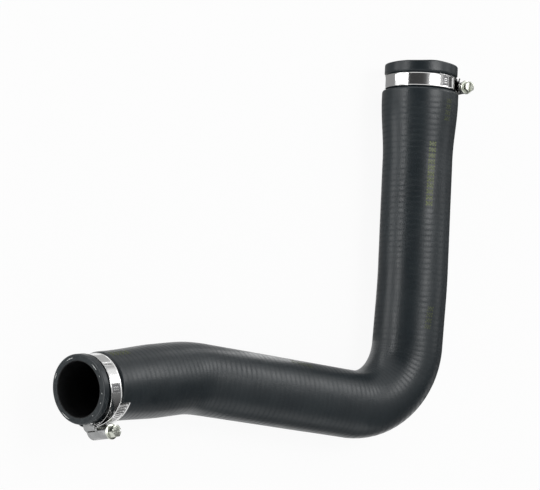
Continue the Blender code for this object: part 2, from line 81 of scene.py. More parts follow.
# Clamps: place, band, worm and housing
CLEARANCE = 0.3 * MM
CLAMP_TURN = math.radians(6.0)
HOUSING_STAND_A = 1.7 * MM
HOUSING_STAND_B = 0.3 * MM
BAND_SETBACK = 8.5 * MM
BAND_WIDTH = 9.0 * MM
BAND_THICKNESS = 0.6 * MM
BAND_EDGE = 0.6 * MM
BAND_EDGE_RISE = 0.35 * MM
GROOVE_PITCH = 2.0 * MM
GROOVE_WIDTH = 1.35 * MM
GROOVE_FLANK = 0.35 * MM
GROOVE_DEPTH = 0.25 * MM
GROOVE_REACH = 2.6 * MM
GROOVE_RUNOUT = 0.3 * MM
GROOVE_SLANT = math.radians(10.0)
LEAD_ANGLE_A = math.radians(95.0)
LEAD_ANGLE_B = math.radians(45.0)
TAIL_ANGLE_A = math.radians(66.0)
TAIL_ANGLE_B = math.radians(43.0)
TAIL_LIFT_A = 5.0 * MM
TAIL_LIFT_B = 0.6 * MM
TAIL_CURVE = 1.3
WORM_RADIUS = 3.2 * MM
WORM_ROOT_RADIUS = 2.4 * MM
NECK_RADIUS = 2.0 * MM
FLANGE_RADIUS = 4.9 * MM
FLANGE_THICKNESS = 1.1 * MM
HEAD_ACROSS_FLATS = 7.0 * MM
HEAD_HEIGHT = 4.2 * MM
SLOT_WIDTH = 1.2 * MM
SLOT_DEPTH = 1.6 * MM
HOUSING_SHEET = 0.7 * MM
HOUSING_LIP_SHEET = 0.5 * MM
HOUSING_BACK = 5.9 * MM
HOUSING_BLOCK_FRONT = 3.5 * MM
HOUSING_FRONT = 11.5 * MM
HOUSING_BACK_SLOPE = math.radians(18.0)
COLLAR_LENGTH = 1.6 * MM
RAMP_STEP = math.radians(4.0)

# Fine form of the rubber skin
SKIN_SIDES = 88
SKIN_STEP = 0.51 * MM
RIM_STEP = 0.15 * MM
BORE_STEP = 6.0 * MM
SKIN_INSET = 0.1 * MM
SWELL = 0.08 * MM
SWELL_SCALE = 30
SWELL_ROUND = 0.9
SKIN_SHARP = math.radians(50)
WRAP_PITCH = 3.9 * MM
WRAP_DEPTH = 0.05 * MM
WRAP_CROWN = 0.8
WRAP_MIDDLE = 0.65
WRAP_EVEN = 0.7
WRAP_UNEVEN = 0.6
WRAP_UNEVEN_SCALE = 90
WRAP_UNEVEN_ROUND = 2
WRAP_SHARPNESS = 0.6
WRAP_FROM_A = 13.0 * MM
WRAP_FROM_B = 20.0 * MM
WRAP_FADE = 10.0 * MM
DENT_AT = 480.3 * MM
DENT_ANGLE = math.radians(-64.0)
DENT_RADIUS = 1.1 * MM
DENT_DEPTH = 0.35 * MM
CUT_SWELL = 0.9 * MM
CUT_SWELL_ANGLE = math.radians(-14.0)
CUT_SWELL_WIDTH = 0.45
CUT_WANDER = 0.35 * MM
CUT_WANDER_SCALE = 1.7
CUT_WANDER_PLACE = 3.1
CUT_REACH = 5.0 * MM

# Fine form of the clamps
BAND_FINE_STEP = math.radians(1.2)
TAIL_FINE_STEP = math.radians(0.4)
BAND_COLUMN = 0.28 * MM
STAMP_LENGTH = 5.0 * MM
STAMP_WIDTH = 6.6 * MM
STAMP_DEPTH = 0.07 * MM
STAMP_EDGE = 0.3 * MM
STAMP_DOT = 0.5 * MM
STAMP_DOT_EDGE = 0.2 * MM
STAMP_DOTS_ACROSS = 1.5 * MM
STAMP_DOTS_ROUND = 1.6 * MM
STAMP_ANGLE_A = math.radians(1)
STAMP_ANGLE_B = math.radians(5)
BAND_RIM_ROUND = 0.03 * MM
BAND_SHARP = math.radians(40)
SCREW_SIDES = 60
SCREW_SHARP = math.radians(32)
RINGS_PER_THREAD = 12
WORM_CREST = 0.25
WORM_FLANK = 0.125
HEAD_CHAMFER = 0.62 * MM
HEAD_CHAMFER_HEIGHT = 0.42 * MM
HEAD_CHAMFER_SHARES = (0.0, 0.25, 0.5, 0.75, 1.0)
HEAD_CROWN = 0.04 * MM
HEAD_CROWN_INSET = 0.95 * MM
HOUSING_MERGE = 0.01 * MM
HOUSING_FLAT = math.radians(1)
HOUSING_BEVEL = 0.14 * MM
HOUSING_BEVEL_FROM = math.radians(28)
HOUSING_SHARP = math.radians(38)

# Prints on the rubber: start and end along the hose, the angle at each, and the strength of the ink
PRINTS = (
    (399.7 * MM, 447.4 * MM, math.radians(-16.7), math.radians(-14.3), 1.0),
    (460.5 * MM, 478.3 * MM, math.radians(8.0), math.radians(11.0), 0.35),
    (313.7 * MM, 332.0 * MM, math.radians(-7.0), math.radians(-3.0), 0.35),
    (22.0 * MM, 40.0 * MM, math.radians(-67.0), math.radians(-67.0), 0.45),
    (171.0 * MM, 188.0 * MM, math.radians(-67.0), math.radians(-59.0), 0.3),
)
PRINT_HEIGHT = 5.0 * MM
PRINT_DOT = 0.44 * MM
PRINT_LIFT = 0.1 * MM
PRINT_DEPTH = 0.15 * MM
PRINT_ROWS = 5
PRINT_COLUMNS = 3
PRINT_GAP = 1.2
PRINT_DOT_SIDES = 8
PRINT_SHARP = math.radians(30)

# Ends of the reinforcing threads on the cut faces: arcs in degrees, and thickness and wander in millimetres
THREADS_A = ((-116, -100), (-51, -37), (-161, -150), (116, 135), (6, 9), (55, 57), (24, 26), (-25, -23))
THREADS_B = ((-140, -122), (-70, -55), (12, 30), (95, 108), (160, 172), (50, 53), (-20, -18))
THREADS_A_RADIUS = 19.5 * MM
THREADS_B_RADIUS = 24.0 * MM
THREAD_SEED = 7
THREAD_SIDES = 6
THREAD_STEP = 0.35 * MM
THREAD_THIN = 0.22
THREAD_THICK = 0.34
THREAD_WANDER = 0.5
THREAD_JITTER = 0.06
THREAD_FLATNESS = 0.7
THREAD_TIP = 0.15

# Colours; the pairs are of darker and paler patches
RUBBER_COLOURS = ((0.0115, 0.017, 0.0208), (0.016, 0.0228, 0.0268))
CUT_COLOURS = ((0.012, 0.0165, 0.0195), (0.024, 0.031, 0.034))
# The bore's colours are darker than the outside rubber's: painted shade inside the bore
BORE_COLOURS_WITH_SHADE = ((0.004, 0.004, 0.0045), (0.008, 0.0085, 0.009))
THREAD_COLOURS = ((0.3, 0.31, 0.31), (0.75, 0.76, 0.74))
PRINTED_RUBBER = (0.015, 0.018, 0.018)
INK = (0.27, 0.32, 0.08)
INK_WORN_SHARE = 0.55
BAND_COLOUR = (0.76, 0.76, 0.755)
ETCHED_COLOUR = (0.16, 0.16, 0.165)
HOUSING_COLOUR = (0.33, 0.335, 0.335)
ZINC_COLOUR = (0.62, 0.64, 0.57)
DULL_SHARE = 0.86

# Noise: the stretch of its values that is used, from blurred to crisp patches
BLURRED = (0.3, 0.7)
CLEAR = (0.35, 0.65)
CRISP = (0.38, 0.62)

# Camera, fitted to the photo: 1700 pixels of focal length on a frame 540 pixels wide
FOCAL_PIXELS = 1700
FRAME_WIDTH = 540
SENSOR_WIDTH = 36
CAMERA_AT = Vector((-0.63283, -0.10368, 0.96653))
CAMERA_AIM = Vector((0.03311, 0.00162, -0.02278))
CAMERA_UP = Vector((-0.0955, 0.99456, 0.04158))

# Floor and backdrop
FLOOR_HEIGHT = -0.4 * MM
FLOOR_CARD_HEIGHT = -0.2 * MM
FLOOR_SIZE = 12
FLOOR_WHITE = (0.95, 0.95, 0.95, 1)
FLOOR_GLOW = 0.93
WHITE = (1, 1, 1, 1)
WORLD_LIGHT = 0.5

# Soft boxes: place, target, width, height and power
SOFTBOXES = (
    ("overhead", (0.3, 0.35, 1.4), (0, 0, 0.02), 0.62, 0.6, 6),
    ("low_left", (-1.5, -0.1, 0.15), (0, 0, 0.1), 1.8, 0.26, 8),
)

# Standing cards seen only in reflections, as painted shade and painted highlights: azimuth, elevation,
# distance, width, height, and (place, brightness) from below
LEFT_LEVELS = ((0.0, 0.05), (0.64, 0.065), (0.78, 0.13), (1.0, 0.7))
RIGHT_LEVELS = (
    (0.0, 0.035), (0.27, 0.04), (0.42, 0.125), (0.56, 0.24), (0.7, 0.38), (0.85, 0.57), (1.0, 0.65),
)
STANDING_CARDS = (
    ("dark_left", 180, 46, 4.0, 7.0, 6.0, LEFT_LEVELS),
    ("dark_right", -20, 33, 4.5, 6.0, 6.8, RIGHT_LEVELS),
    ("bright_gap", 2.5, 27, 0.59, 0.2, 0.17, ((0.0, 1.2), (1.0, 1.2))),
    ("bright_back", 38, 33, 2.5, 1.5, 0.8, ((0.0, 4.0), (1.0, 4.0))),
    ("grey_back", 53, 4, 2.0, 0.8, 0.6, ((0.0, 0.45), (0.5, 0.5), (1.0, 1.0))),
)

# Cards on the floor, seen only in reflections, as painted shade where darker and painted light where
# brighter: two corners and a brightness
FLOOR_CARDS = (
    ("bright_by_riser", (0.01, -0.06), (0.06, 0.1), 2.6),
    ("bright_by_end_b", (0.01, 0.13), (0.06, 0.155), 2.0),
    ("bright_far_left", (-1.2, 0.125), (0.01, 0.6), 1.6),
    ("shade_by_riser", (0.06, -0.06), (0.105, 0.3), 0.32),
    ("shade_inside_bend", (-0.13, -0.05), (0.01, 0.12), 0.5),
    ("shade_right", (0.15, -0.12), (1.2, 0.6), 0.12),
    ("shade_front", (0.0, -0.7), (1.2, -0.16), 0.2),
)

# Sizes that follow
END_A_RADIUS = BORE_A / 2 + WALL
LEG_RADIUS = BORE_LEG / 2 + WALL
RISER_RADIUS = BORE_RISER / 2 + WALL
END_B_RADIUS = BORE_B / 2 + WALL
SEAT_MARGIN = CLEARANCE + HOUSING_SHEET + CLEARANCE
BAND_CENTRE = BAND_SETBACK + BAND_WIDTH / 2
BAND_OUTSIDE = CLEARANCE + BAND_EDGE_RISE + BAND_THICKNESS
SEAT_START = BAND_SETBACK - SEAT_MARGIN
SEAT_END = BAND_SETBACK + BAND_WIDTH + SEAT_MARGIN
BULGE_END = SEAT_END + SEAT_RAMP + BULGE_LENGTH
INNER_LAYER = CLEARANCE + HOUSING_LIP_SHEET + CLEARANCE
OUTER_LAYER = INNER_LAYER + BAND_THICKNESS + CLEARANCE
WORM_HEIGHT = OUTER_LAYER + BAND_THICKNESS + CLEARANCE + WORM_RADIUS
WORM_PITCH = GROOVE_PITCH


def smooth_step(share):
    share = min(max(share, 0), 1)
    return share * share * (3 - 2 * share)


def between(keys, at):
    """The value at a place in a list of (place, value), blended smoothly from key to key."""
    if at <= keys[0][0]:
        return keys[0][1]
    for (start, first), (end, second) in zip(keys, keys[1:]):
        if at <= end:
            return first + (second - first) * smooth_step((at - start) / (end - start))
    return keys[-1][1]


def evenly(start, end, step):
    """Places from start up to, but not including, end."""
    count = max(1, math.ceil((end - start) / step))
    return [start + (end - start) * i / count for i in range(count)]


# The route, as the solid has it


def route_corners():
    """The corners of the centreline from end A to end B, with the elbow's corner over the origin."""
    elbow_reach = ELBOW_RADIUS * math.tan(ELBOW_TURN / 2)
    contacts = [(BAND_CENTRE, END_B_RADIUS - SEAT_DEPTH + BAND_OUTSIDE), (BULGE_END, END_B_RADIUS + BULGE_B)]
    slope = max((height - RISER_RADIUS) / (RISER_LENGTH - at - elbow_reach) for at, height in contacts)
    elbow_height = RISER_RADIUS - slope * elbow_reach
    elbow = Vector((0, 0, elbow_height))
    leg_heading = math.pi * 1.5 - ELBOW_TURN
    bend = elbow + LEG_LENGTH * Vector((math.cos(leg_heading), math.sin(leg_heading), 0))
    bend.z = LEG_RADIUS
    end_heading = leg_heading + BEND_SWING
    flat = math.cos(BEND_RISE)
    to_a = Vector((flat * math.cos(end_heading), flat * math.sin(end_heading), math.sin(BEND_RISE)))
    bow = Vector((RISER_BOW, RISER_BOW_FROM_ELBOW, elbow_height + slope * RISER_BOW_FROM_ELBOW))
    end_b = Vector((0, RISER_LENGTH, elbow_height + slope * RISER_LENGTH))
    return [bend + END_A_LENGTH * to_a, bend, elbow, bow, end_b]


def line_stretch(start, end):
    heading = (end - start).normalized()
    return (end - start).length, lambda s: (start + s * heading, heading)


def arc_stretch(start, heading, side, radius, turn):
    centre = start + radius * side

    def at(s):
        angle = s / radius
        point = centre + radius * (math.sin(angle) * heading - math.cos(angle) * side)
        return point, math.cos(angle) * heading + math.sin(angle) * side

    return radius * turn, at


def route_of(corners, radii):
    """Stretches of the centreline, each (length, function from distance to point and direction)."""
    stretches = []
    start = corners[0]
    for before, corner, after, radius in zip(corners, corners[1:], corners[2:], radii):
        heading = (corner - before).normalized()
        leaving = (after - corner).normalized()
        turn = heading.angle(leaving)
        cut_back = radius * math.tan(turn / 2)
        side = (leaving - heading * heading.dot(leaving)).normalized()
        stretches.append(line_stretch(start, corner - cut_back * heading))
        stretches.append(arc_stretch(corner - cut_back * heading, heading, side, radius, turn))
        start = corner + cut_back * leaving
    stretches.append(line_stretch(start, corners[-1]))
    return stretches


def place_on(route, distance):
    """A matrix with its Z along the hose, its X pointing up and its Y to the side, at that distance."""
    for length, at in route[:-1]:
        if distance <= length:
            break
        distance -= length
    else:
        at = route[-1][1]
    point, heading = at(distance)
    up = (UP - heading * heading.dot(UP)).normalized()
    side = heading.cross(up)
    return Matrix.Translation(point) @ Matrix((up, side, heading)).transposed().to_4x4()


def clamp_place(route, distance):
    """A clamp's own frame: Z along the hose, Y out through the housing and X towards the screw head."""
    return place_on(route, distance) @ Matrix.Rotation(-CLAMP_TURN, 4, "Z")


def joint_place(name):
    return next(Vector(joint["pos_m"]) for joint in frame["joints"] if joint["name"] == name)


def placed_route():
    """The route moved to where the frame has it, by the place of clamp A's screw."""
    corners = route_corners()
    radii = (BEND_RADIUS, ELBOW_RADIUS, RISER_BOW_RADIUS)
    screw_out = END_A_RADIUS - SEAT_DEPTH + HOUSING_STAND_A + WORM_HEIGHT
    screw = clamp_place(route_of(corners, radii), BAND_CENTRE) @ Vector((0, screw_out, 0))
    shift = joint_place("clamp_a_screw_turn") - screw
    return route_of([corner + shift for corner in corners], radii)


ROUTE = placed_route()
LENGTH = sum(length for length, _ in ROUTE)
ELBOW_START = sum(length for length, _ in ROUTE[:3])
ELBOW_END = ELBOW_START + ROUTE[3][0]

# Materials


def new_material(name, colour, roughness, metallic=0.0, specular=0.5):
    material = bpy.data.materials.new(name)
    material.use_nodes = True
    shader = material.node_tree.nodes["Principled BSDF"]
    shader.inputs["Base Color"].default_value = (*colour, 1)
    shader.inputs["Roughness"].default_value = roughness
    shader.inputs["Metallic"].default_value = metallic
    shader.inputs["Specular IOR Level"].default_value = specular
    return material, material.node_tree, shader


def feed(tree, socket, value):
    """Links a socket to another one, or gives it a fixed value."""
    if isinstance(value, bpy.types.NodeSocket):
        tree.links.new(value, socket)
    else:
        socket.default_value = value


def add_node(tree, kind, inputs=None, **settings):
    node = tree.nodes.new(kind)
    for name, value in settings.items():
        setattr(node, name, value)
    for name, value in (inputs or {}).items():
        feed(tree, node.inputs[name], value)
    return node


def attribute(tree, name):
    return add_node(tree, "ShaderNodeAttribute", attribute_name=name).outputs["Fac"]


def object_noise(tree, scale, detail=3.0, roughness=0.5):
    place = add_node(tree, "ShaderNodeTexCoord")
    inputs = {"Vector": place.outputs["Object"], "Scale": scale, "Detail": detail, "Roughness": roughness}
    return add_node(tree, "ShaderNodeTexNoise", inputs).outputs["Fac"]


def remap(tree, value, low, high, to_low, to_high):
    inputs = {"Value": value, "From Min": low, "From Max": high, "To Min": to_low, "To Max": to_high}
    return add_node(tree, "ShaderNodeMapRange", inputs).outputs["Result"]


def patches(tree, noise_settings, spread=CLEAR, low=0.0, high=1.0):
    """A value that wanders between low and high over the surface."""
    return remap(tree, object_noise(tree, *noise_settings), *spread, low, high)


def mix_colours(tree, factor, colours):
    mixer = add_node(tree, "ShaderNodeMix", data_type="RGBA")
    feed(tree, mixer.inputs["Factor"], factor)
    for socket, colour in zip("AB", colours):
        mixer.inputs[socket].default_value = (*colour, 1)
    return mixer.outputs["Result"]


def mix_values(tree, factor, first, second):
    mixer = add_node(tree, "ShaderNodeMix", data_type="FLOAT")
    for socket, value in (("Factor", factor), ("A", first), ("B", second)):
        feed(tree, mixer.inputs[socket], value)
    return mixer.outputs["Result"]


def add_bump(tree, shader, height, strength, distance):
    inputs = {"Height": height, "Strength": strength, "Distance": distance}
    bump = add_node(tree, "ShaderNodeBump", inputs)
    tree.links.new(bump.outputs["Normal"], shader.inputs["Normal"])


def maths(tree, operation, first, second=0.0):
    node = add_node(tree, "ShaderNodeMath", operation=operation)
    feed(tree, node.inputs[0], first)
    feed(tree, node.inputs[1], second)
    return node.outputs[0]


def wrap_grooves(tree):
    """1 in the dull grooves between the turns of the wrapping tape, 0 on the turns and past their ends."""
    half_turns = maths(tree, "MULTIPLY", maths(tree, "FRACT", attribute(tree, "wrap_turns")), math.pi)
    crown = maths(tree, "MAXIMUM", maths(tree, "SINE", half_turns), 0.0)
    groove = maths(tree, "SUBTRACT", 1.0, maths(tree, "POWER", crown, WRAP_SHARPNESS))
    fading = maths(tree, "MULTIPLY", groove, attribute(tree, "wrap_fade"))
    return maths(tree, "MULTIPLY", fading, patches(tree, (55, 2), low=0.3))


def rubber_material():
    """The moulded outside: slate black with a fine grain, and patches that shine a little more."""
    material, tree, shader = new_material("moulded_rubber", (0.013, 0.019, 0.023), 0.36, specular=0.42)
    feed(tree, shader.inputs["Base Color"], mix_colours(tree, patches(tree, (38, 4)), RUBBER_COLOURS))
    grooves = wrap_grooves(tree)
    gloss = patches(tree, (120, 3), BLURRED, 0.28, 0.37)
    feed(tree, shader.inputs["Roughness"], mix_values(tree, grooves, gloss, 0.53))
    feed(tree, shader.inputs["Specular IOR Level"], mix_values(tree, grooves, 0.46, 0.31))
    add_bump(tree, shader, object_noise(tree, 1100, 3, 0.6), 0.16, 0.0001)
    return material


def cut_material():
    """The cut faces: duller, with the fine lines of the blade."""
    material, tree, shader = new_material("cut_rubber", (0.018, 0.023, 0.026), 0.6, specular=0.3)
    feed(tree, shader.inputs["Base Color"], mix_colours(tree, patches(tree, (300, 5, 0.6)), CUT_COLOURS))
    feed(tree, shader.inputs["Roughness"], patches(tree, (700, 2), BLURRED, 0.5, 0.68))
    add_bump(tree, shader, object_noise(tree, 900, 4, 0.7), 0.35, 0.00015)
    return material


def bore_material():
    """The inside, smooth and nearly black: the rubber's own black, made darker than the outside rubber as
    painted shade in the bore.
    """
    material, tree, shader = new_material("bore_rubber_painted_shade", (0.006, 0.006, 0.007), 0.6, specular=0.2)
    feed(tree, shader.inputs["Base Color"], mix_colours(tree, patches(tree, (60, 3)), BORE_COLOURS_WITH_SHADE))
    feed(tree, shader.inputs["Roughness"], patches(tree, (200, 2), BLURRED, 0.5, 0.65))
    return material


def steel_material(name, colour, low, high, wave, etched=False):
    """Metal whose gloss and surface waver a little; an etched stamp is dark and dull."""
    material, tree, shader = new_material(name, colour, (low + high) / 2, 1.0)
    gloss = patches(tree, (500, 3), BLURRED, low, high)
    if etched:
        etch = attribute(tree, "etch")
        gloss = mix_values(tree, etch, gloss, 0.5)
        shade = mix_colours(tree, etch, (colour, ETCHED_COLOUR))
    else:
        dull = tuple(DULL_SHARE * value for value in colour)
        shade = mix_colours(tree, patches(tree, (260, 4)), (dull, colour))
    feed(tree, shader.inputs["Base Color"], shade)
    feed(tree, shader.inputs["Roughness"], gloss)
    add_bump(tree, shader, object_noise(tree, 160, 2), wave, 0.0002)
    return material


def blend(first, second, share):
    return tuple(a + share * (b - a) for a, b in zip(first, second))


def print_material(strength):
    """Worn yellow-green ink, through which the rubber shows."""
    name = "worn_print_%d" % round(strength * 100)
    material, tree, shader = new_material(name, (0.1, 0.11, 0.05), 0.6, specular=0.3)
    ink = blend(PRINTED_RUBBER, INK, strength)
    worn = blend(PRINTED_RUBBER, ink, INK_WORN_SHARE)
    shade = mix_colours(tree, patches(tree, (900, 4, 0.6), CRISP), (worn, ink))
    feed(tree, shader.inputs["Base Color"], shade)
    feed(tree, shader.inputs["Roughness"], patches(tree, (300, 2), BLURRED, 0.5, 0.65))
    return material


def thread_material():
    """The pale reinforcing threads that the blade has cut through."""
    material, tree, shader = new_material("cut_thread", (0.5, 0.5, 0.47), 0.8, specular=0.2)
    feed(tree, shader.inputs["Base Color"], mix_colours(tree, patches(tree, (2500, 3)), THREAD_COLOURS))
    return material


RUBBER = rubber_material()
CUT = cut_material()
BORE = bore_material()
THREAD = thread_material()
BAND_STEEL = steel_material("polished_steel", BAND_COLOUR, 0.08, 0.14, 0.05, etched=True)
HOUSING_STEEL = steel_material("stamped_steel", HOUSING_COLOUR, 0.2, 0.32, 0.12)
SCREW_ZINC = steel_material("zinc_plate", ZINC_COLOUR, 0.14, 0.28, 0.25)

# Pieces


def linked(name, data):
    made = bpy.data.objects.new(name, data)
    bpy.context.scene.collection.objects.link(made)
    return made


def add_piece(name, mesh, body, replaced=None):
    piece = linked(name, mesh)
    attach(piece, body)
    if replaced:
        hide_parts(replaced)


def mesh_from(name, points, faces, materials, indices=None, sharp=None):
    mesh = bpy.data.meshes.new(name)
    mesh.from_pydata(points, [], faces)
    for material in materials:
        mesh.materials.append(material)
    if indices:
        mesh.polygons.foreach_set("material_index", indices)
    mesh.shade_smooth()
    if sharp:
        mesh.set_sharp_from_angle(angle=sharp)
    return mesh


def store(mesh, name, domain, values):
    mesh.attributes.new(name, "FLOAT", domain).data.foreach_set("value", values)


# The hose


def outside_keys():
    """(distance, radius) of the outside without its seats and rounded rims."""
    def cuff(radius, bulge, body_radius):
        return [
            (SEAT_END - SEAT_MARGIN, radius),
            (SEAT_END + SEAT_RAMP, radius + bulge),
            (BULGE_END, radius + bulge),
            (BULGE_END + CUFF_BLEND, body_radius),
        ]

    keys = cuff(END_A_RADIUS, BULGE_A, LEG_RADIUS)
    keys += [(ELBOW_START, LEG_RADIUS), (ELBOW_END, RISER_RADIUS)]
    far = cuff(END_B_RADIUS, BULGE_B, RISER_RADIUS)
    return keys + [(LENGTH - distance, value) for distance, value in reversed(far)]


def inside_keys():
    blend_end = BULGE_END + CUFF_BLEND
    keys = [(BAND_SETBACK + BAND_WIDTH, BORE_A / 2), (blend_end, BORE_LEG / 2), (ELBOW_START, BORE_LEG / 2)]
    keys += [(ELBOW_END, BORE_RISER / 2), (LENGTH - blend_end, BORE_RISER / 2)]
    return keys + [(LENGTH - BAND_SETBACK - BAND_WIDTH, BORE_B / 2)]


OUTSIDE = outside_keys()
INSIDE = inside_keys()


def rim_inset(from_rim, size):
    """How far a rounded edge draws in near the rim."""
    if from_rim >= size:
        return 0
    return size - math.sqrt(size * size - (size - from_rim) ** 2)


def cut_back(distance, height):
    """How far end A's oblique cut sets a point back along the hose, at a height over the centreline."""
    share = max(0, 1 - distance / (SEAT_START - SEAT_RAMP))
    return share * math.tan(END_A_CUT) * (END_A_RADIUS + height)


def turn_between(first, second):
    """The angle from one direction to another, the short way round."""
    return (first - second + math.pi) % (2 * math.pi) - math.pi


def uneven_cut(distance, angle):
    """How far the blade has wandered along the hose at end B, fading out over the first millimetres."""
    share = max(0, 1 - (LENGTH - distance) / CUT_REACH)
    swell = math.exp(-(turn_between(angle, CUT_SWELL_ANGLE) / CUT_SWELL_WIDTH) ** 2)
    around = (CUT_WANDER_SCALE * math.cos(angle), CUT_WANDER_SCALE * math.sin(angle), CUT_WANDER_PLACE)
    wander = noise.noise(Vector(around))
    return share * (CUT_SWELL * swell + CUT_WANDER * wander)


def seated(radius, from_rim, angle, seat, stand):
    """The outside with the seat that the band has pressed in, and the saddle under the housing."""
    past_housing = max(abs(turn_between(angle, math.pi / 2 - CLAMP_TURN)) - SADDLE_HALF, 0)
    under_housing = 1 - smooth_step(past_housing / SADDLE_FADE)
    margin = CLEARANCE + (HOUSING_SHEET + CLEARANCE) * under_housing
    outside = max(BAND_SETBACK - margin - from_rim, from_rim - BAND_SETBACK - BAND_WIDTH - margin, 0)
    share = 1 - smooth_step(outside / SEAT_RAMP)
    return radius + (seat + stand * under_housing - radius) * share


def noise_round(distance, angle, scale, scale_round):
    """Noise over the skin, the same after each full turn."""
    around = (scale_round * math.cos(angle), scale_round * math.sin(angle))
    return noise.noise(Vector((distance * scale, *around)))


def wrap_turns(distance, angle):
    """How many turns of the tape lie before a point: whole numbers on the groove between two strips."""
    return distance / WRAP_PITCH - angle / (2 * math.pi)


def wrap_fade(distance):
    from_a = smooth_step((distance - WRAP_FROM_A) / WRAP_FADE)
    return from_a * smooth_step((LENGTH - WRAP_FROM_B - distance) / WRAP_FADE)


def wrap_ridge(distance, angle):
    """The marks that the wrapping tape has left, as a helix of soft ridges."""
    phase = wrap_turns(distance, angle) % 1
    height = math.sin(math.pi * phase) ** WRAP_CROWN - WRAP_MIDDLE
    uneven = WRAP_EVEN + WRAP_UNEVEN * noise_round(distance, angle, WRAP_UNEVEN_SCALE, WRAP_UNEVEN_ROUND)
    return WRAP_DEPTH * wrap_fade(distance) * uneven * height


def dent(distance, angle):
    across = turn_between(angle, DENT_ANGLE) * END_B_RADIUS
    off = math.hypot(distance - DENT_AT, across)
    return DENT_DEPTH * math.exp(-(off / DENT_RADIUS) ** 2)


def skin_radius(distance, angle):
    to_b = LENGTH - distance
    radius = between(OUTSIDE, distance)
    if distance < SEAT_END + SEAT_RAMP:
        radius = seated(radius, distance, angle, END_A_RADIUS - SEAT_DEPTH, HOUSING_STAND_A)
    if to_b < SEAT_END + SEAT_RAMP:
        radius = seated(radius, to_b, angle, END_B_RADIUS - SEAT_DEPTH, HOUSING_STAND_B)
    radius -= rim_inset(distance, RIM_ROUND) + rim_inset(to_b, RIM_ROUND)
    swell = SWELL * noise_round(distance, angle, SWELL_SCALE, SWELL_ROUND)
    return radius - SKIN_INSET + wrap_ridge(distance, angle) + swell - dent(distance, angle)


def bore_radius(distance):
    rounding = rim_inset(distance, BORE_ROUND) + rim_inset(LENGTH - distance, BORE_ROUND)
    return between(INSIDE, distance) + rounding


def on_hose(distance, angle, radius, lift=0.0):
    """A point in the frame at a distance, an angle and a radius, lifted along the hose by lift."""
    height = radius * math.cos(angle)
    along = cut_back(distance, height) + uneven_cut(distance, angle) + lift
    return place_on(ROUTE, distance) @ Vector((height, radius * math.sin(angle), along))


def hose_distances(step, rim_step, rim):
    fine = evenly(0, rim, rim_step)
    return fine + evenly(rim, LENGTH - rim, step) + evenly(LENGTH - rim, LENGTH, rim_step) + [LENGTH]


def make_hose():
    """The rubber, closed on itself: out along the outside and back through the bore."""
    angles = [2 * math.pi * i / SKIN_SIDES for i in range(SKIN_SIDES + 1)]
    outside = hose_distances(SKIN_STEP, RIM_STEP, RIM_ROUND)
    inside = hose_distances(BORE_STEP, RIM_STEP, BORE_ROUND)
    inside.reverse()
    points = [on_hose(at, angle, skin_radius(at, angle)) for at in outside for angle in angles[:-1]]
    points += [on_hose(at, angle, bore_radius(at)) for at in inside for angle in angles[:-1]]
    places = outside + inside
    finishes = (RUBBER, CUT, BORE)
    faces = []
    indices = []
    turns = []
    for i in range(len(places)):
        ahead = (i + 1) % len(places)
        on_cut = i in (len(outside) - 1, len(places) - 1)
        finish = CUT if on_cut else RUBBER if i < len(outside) else BORE
        indices += [finishes.index(finish)] * SKIN_SIDES
        for j in range(SKIN_SIDES):
            k = (j + 1) % SKIN_SIDES
            first = i * SKIN_SIDES
            second = ahead * SKIN_SIDES
            faces.append((first + j, first + k, second + k, second + j))
            corners = ((i, j), (i, j + 1), (ahead, j + 1), (ahead, j))
            turns += [wrap_turns(places[ring], angles[side]) for ring, side in corners]
    mesh = mesh_from("hose_skin", points, faces, finishes, indices, SKIN_SHARP)
    store(mesh, "wrap_turns", "CORNER", turns)
    store(mesh, "wrap_fade", "POINT", [wrap_fade(at) for at in places for _ in range(SKIN_SIDES)])
    add_piece("hose_skin", mesh, "hose", "hose")


# Marks on the rubber


def add_prism(points, faces, outline, depth):
    """A low prism from an outline of points and the direction that it is sunk in."""
    start = len(points)
    count = len(outline)
    points += outline + [point + depth for point in outline]
    faces.append(tuple(range(start, start + count)))
    faces.append(tuple(range(start + 2 * count - 1, start + count - 1, -1)))
    for i in range(count):
        j = (i + 1) % count
        faces.append((start + j, start + i, start + count + i, start + count + j))


def make_print(number, start, end, angle_start, angle_end, strength):
    """A row of identical blocks of dots, such as a dot printer lays down."""
    row_step = PRINT_HEIGHT / PRINT_ROWS
    block = (PRINT_COLUMNS + PRINT_GAP) * row_step
    blocks = max(2, round((end - start) / block))
    places = [
        (start + i * block + column * row_step, (row - (PRINT_ROWS - 1) / 2) * row_step)
        for i in range(blocks)
        for column in range(PRINT_COLUMNS)
        for row in range(PRINT_ROWS)
        if (row + column) % 2 == 0
    ]
    points = []
    faces = []
    for distance, offset in places:
        share = (distance - start) / (end - start)
        radius = skin_radius(distance, angle_start)
        middle = angle_start + (angle_end - angle_start) * share
        outline = []
        for corner in range(PRINT_DOT_SIDES):
            turn = -2 * math.pi * corner / PRINT_DOT_SIDES
            along = distance + PRINT_DOT * math.cos(turn)
            angle = middle + (offset + PRINT_DOT * math.sin(turn)) / radius
            outline.append(on_hose(along, angle, skin_radius(along, angle) + PRINT_LIFT))
        outward = place_on(ROUTE, distance).to_3x3() @ Vector((math.cos(middle), math.sin(middle), 0))
        add_prism(points, faces, outline, -PRINT_DEPTH * outward)
    name = "print_%d" % number
    mesh = mesh_from(name, points, faces, (print_material(strength),), sharp=PRINT_SHARP)
    add_piece(name, mesh, "hose")


